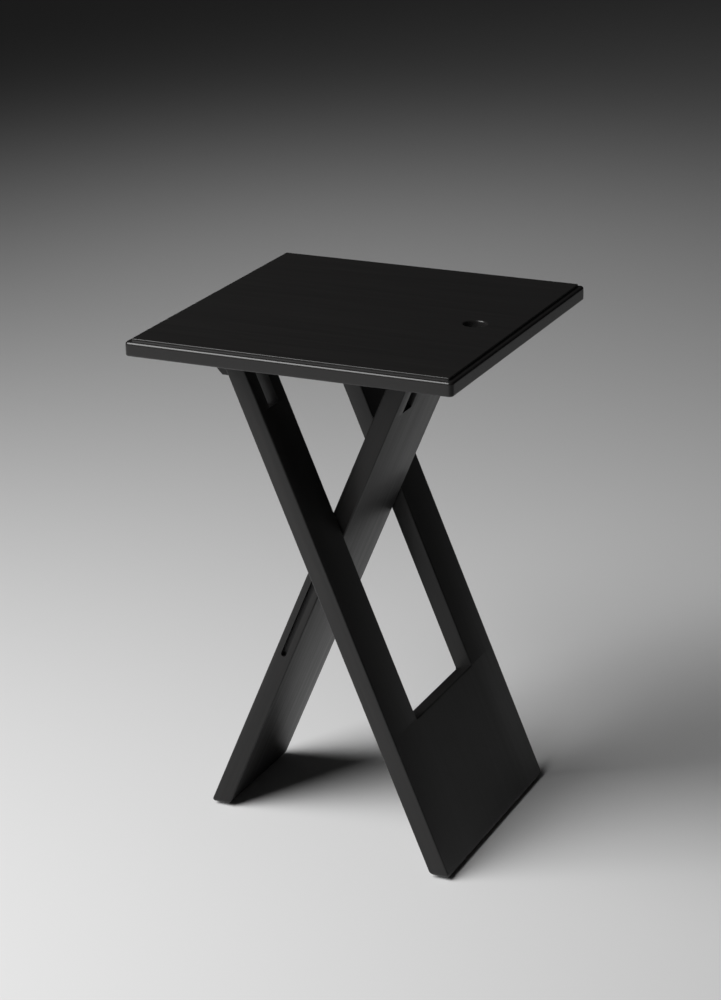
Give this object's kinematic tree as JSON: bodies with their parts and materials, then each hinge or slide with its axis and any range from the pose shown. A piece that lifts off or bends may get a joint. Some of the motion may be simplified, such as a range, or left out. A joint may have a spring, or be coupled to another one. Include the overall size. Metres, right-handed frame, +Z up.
{
  "type": "folding tray table",
  "caption": "Small black side table with a square top on crossed plank legs that fold flat into one plane; a round finger hole near one edge.",
  "frame": {"origin": "on the floor, under the middle of the top", "axes": "+Z up to the top; +X along the front edge, from the outer leg's hinge towards the finger hole; +Y to the back"},
  "size_m": [0.385, 0.4, 0.61],
  "materials": {
    "black_lacquer": "black satin lacquer",
    "dowel_wood": "bare birch",
    "pin_steel": "plain",
    "screw_steel": "zinc plated",
    "pad_rubber": "matt"
  },
  "bodies": {
    "outer_leg": {"outer_rail_front": "black_lacquer", "outer_rail_back": "black_lacquer", "outer_foot_panel": "black_lacquer", "dowel_front_upper": "dowel_wood", "dowel_front_lower": "dowel_wood", "dowel_back_upper": "dowel_wood", "dowel_back_lower": "dowel_wood", "hinge_pin_outer_front": "pin_steel", "hinge_pin_outer_back": "pin_steel", "guide_pin_front": "pin_steel", "guide_pin_back": "pin_steel", "foot_pad_outer_front": "pad_rubber", "foot_pad_outer_back": "pad_rubber"},
    "top": {"tabletop": "black_lacquer", "hinge_block_outer_front": "black_lacquer", "hinge_block_outer_back": "black_lacquer", "hinge_block_inner_front": "black_lacquer", "hinge_block_inner_back": "black_lacquer", "block_screw_outer_front_a": "screw_steel", "block_screw_outer_front_b": "screw_steel", "block_screw_outer_back_a": "screw_steel", "block_screw_outer_back_b": "screw_steel", "block_screw_inner_front_a": "screw_steel", "block_screw_inner_front_b": "screw_steel", "block_screw_inner_back_a": "screw_steel", "block_screw_inner_back_b": "screw_steel"},
    "inner_leg": {"inner_leg": "black_lacquer", "hinge_pin_inner_front": "pin_steel", "hinge_pin_inner_back": "pin_steel", "foot_pad_inner_front": "pad_rubber", "foot_pad_inner_back": "pad_rubber"}
  },
  "joints": [
    {"name": "top_fold", "type": "hinge", "parent": "outer_leg", "child": "top", "pos_m": [-0.0874, 0, 0.578], "axis": [0, -1, 0], "range_deg": [0, 113]},
    {"name": "inner_leg_fold", "type": "hinge", "parent": "top", "child": "inner_leg", "pos_m": [0.0874, 0, 0.578], "axis": [0, -1, 0], "range_deg": [-67, 0]}
  ],
  "couplings": [
    {"joint": "inner_leg_fold", "follows": "top_fold", "ratio": -0.59292}
  ]
}
